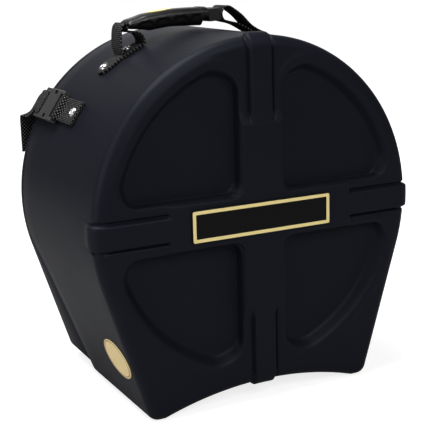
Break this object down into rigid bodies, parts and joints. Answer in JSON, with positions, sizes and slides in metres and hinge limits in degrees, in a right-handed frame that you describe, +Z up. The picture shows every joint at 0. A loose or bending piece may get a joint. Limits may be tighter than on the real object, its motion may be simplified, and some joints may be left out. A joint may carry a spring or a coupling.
{
  "type": "drum case",
  "caption": "Moulded drum case: an outer front shell slides over an inner rear shell, held by side-release buckles, with a webbing carrying handle and cross pads on its face.",
  "frame": {"origin": "on the floor, under the middle of the case's box", "axes": "+Z up, +Y from the front face with the badge into the case, +X to the right of that face"},
  "size_m": [0.4068, 0.2788, 0.4462],
  "materials": {
    "shell_plastic": "rotationally moulded polyethylene with a fine matt texture",
    "badge_black": "smooth bare plate",
    "badge_yellow": "printed pale yellow, bare",
    "webbing": "woven polypropylene webbing",
    "core_rubber": "matt rubber",
    "grip_rubber": "satin moulded rubber",
    "buckle_plastic": "satin moulded acetal",
    "rivet_steel": "bright plated steel"
  },
  "bodies": {
    "front_case": {"front_shell": "shell_plastic", "badge_plate": "badge_black", "badge_border": "badge_yellow", "oval_label": "badge_yellow", "left_handle_anchor": "webbing", "right_handle_anchor": "webbing", "left_handle_rivet_outer": "rivet_steel", "left_handle_rivet_outer_washer": "rivet_steel", "left_handle_rivet_inner": "rivet_steel", "left_handle_rivet_inner_washer": "rivet_steel", "right_handle_rivet_outer": "rivet_steel", "right_handle_rivet_outer_washer": "rivet_steel", "right_handle_rivet_inner": "rivet_steel", "right_handle_rivet_inner_washer": "rivet_steel", "left_buckle_tab": "webbing", "right_buckle_tab": "webbing", "left_buckle_housing": "buckle_plastic", "right_buckle_housing": "buckle_plastic", "left_tab_rivet": "rivet_steel", "left_tab_rivet_washer": "rivet_steel", "right_tab_rivet": "rivet_steel", "right_tab_rivet_washer": "rivet_steel"},
    "rear_case": {"rear_shell": "shell_plastic", "left_buckle_plug": "buckle_plastic", "right_buckle_plug": "buckle_plastic", "left_buckle_strap": "webbing", "right_buckle_strap": "webbing", "left_strap_rivet": "rivet_steel", "left_strap_rivet_washer": "rivet_steel", "right_strap_rivet": "rivet_steel", "right_strap_rivet_washer": "rivet_steel"},
    "handle_straps": {"left_handle_loop": "webbing", "right_handle_loop": "webbing"},
    "handle_grip_body": {"handle_core": "core_rubber", "handle_grip": "grip_rubber", "grip_badge": "badge_yellow"},
    "left_lower_prong": {"left_prong_lower": "buckle_plastic"},
    "left_upper_prong": {"left_prong_upper": "buckle_plastic"},
    "right_lower_prong": {"right_prong_lower": "buckle_plastic"},
    "right_upper_prong": {"right_prong_upper": "buckle_plastic"}
  },
  "joints": [
    {"name": "shell_slide", "type": "slide", "parent": "front_case", "child": "rear_case", "axis": [0, 1, 0], "range_m": [0, 0.19], "deforming": ["left_prong_lower", "left_prong_upper", "right_prong_lower", "right_prong_upper"]},
    {"name": "handle_swing", "type": "hinge", "parent": "front_case", "child": "handle_straps", "pos_m": [0, 0.0139, 0.406], "axis": [1, 0, 0], "range_deg": [-15, 15], "deforming": ["left_handle_loop", "right_handle_loop"]},
    {"name": "grip_lift", "type": "slide", "parent": "handle_straps", "child": "handle_grip_body", "axis": [0.8, 0, 0.6], "range_m": [0, 0.045], "deforming": ["left_handle_loop", "right_handle_loop"]},
    {"name": "left_lower_prong_press", "type": "hinge", "parent": "rear_case", "child": "left_lower_prong", "pos_m": [-0.17865, 0.0772, 0.32686], "axis": [-0.8221, 0, 0.5693], "range_deg": [0, 9.5], "stiffness_Nm_per_rad": 1.2},
    {"name": "left_upper_prong_press", "type": "hinge", "parent": "rear_case", "child": "left_upper_prong", "pos_m": [-0.16476, 0.0772, 0.34692], "axis": [0.8221, 0, -0.5693], "range_deg": [0, 9.5], "stiffness_Nm_per_rad": 1.2},
    {"name": "right_lower_prong_press", "type": "hinge", "parent": "rear_case", "child": "right_lower_prong", "pos_m": [0.17865, 0.0772, 0.32686], "axis": [-0.8221, 0, -0.5693], "range_deg": [0, 9.5], "stiffness_Nm_per_rad": 1.2},
    {"name": "right_upper_prong_press", "type": "hinge", "parent": "rear_case", "child": "right_upper_prong", "pos_m": [0.16476, 0.0772, 0.34692], "axis": [0.8221, 0, 0.5693], "range_deg": [0, 9.5], "stiffness_Nm_per_rad": 1.2}
  ]
}
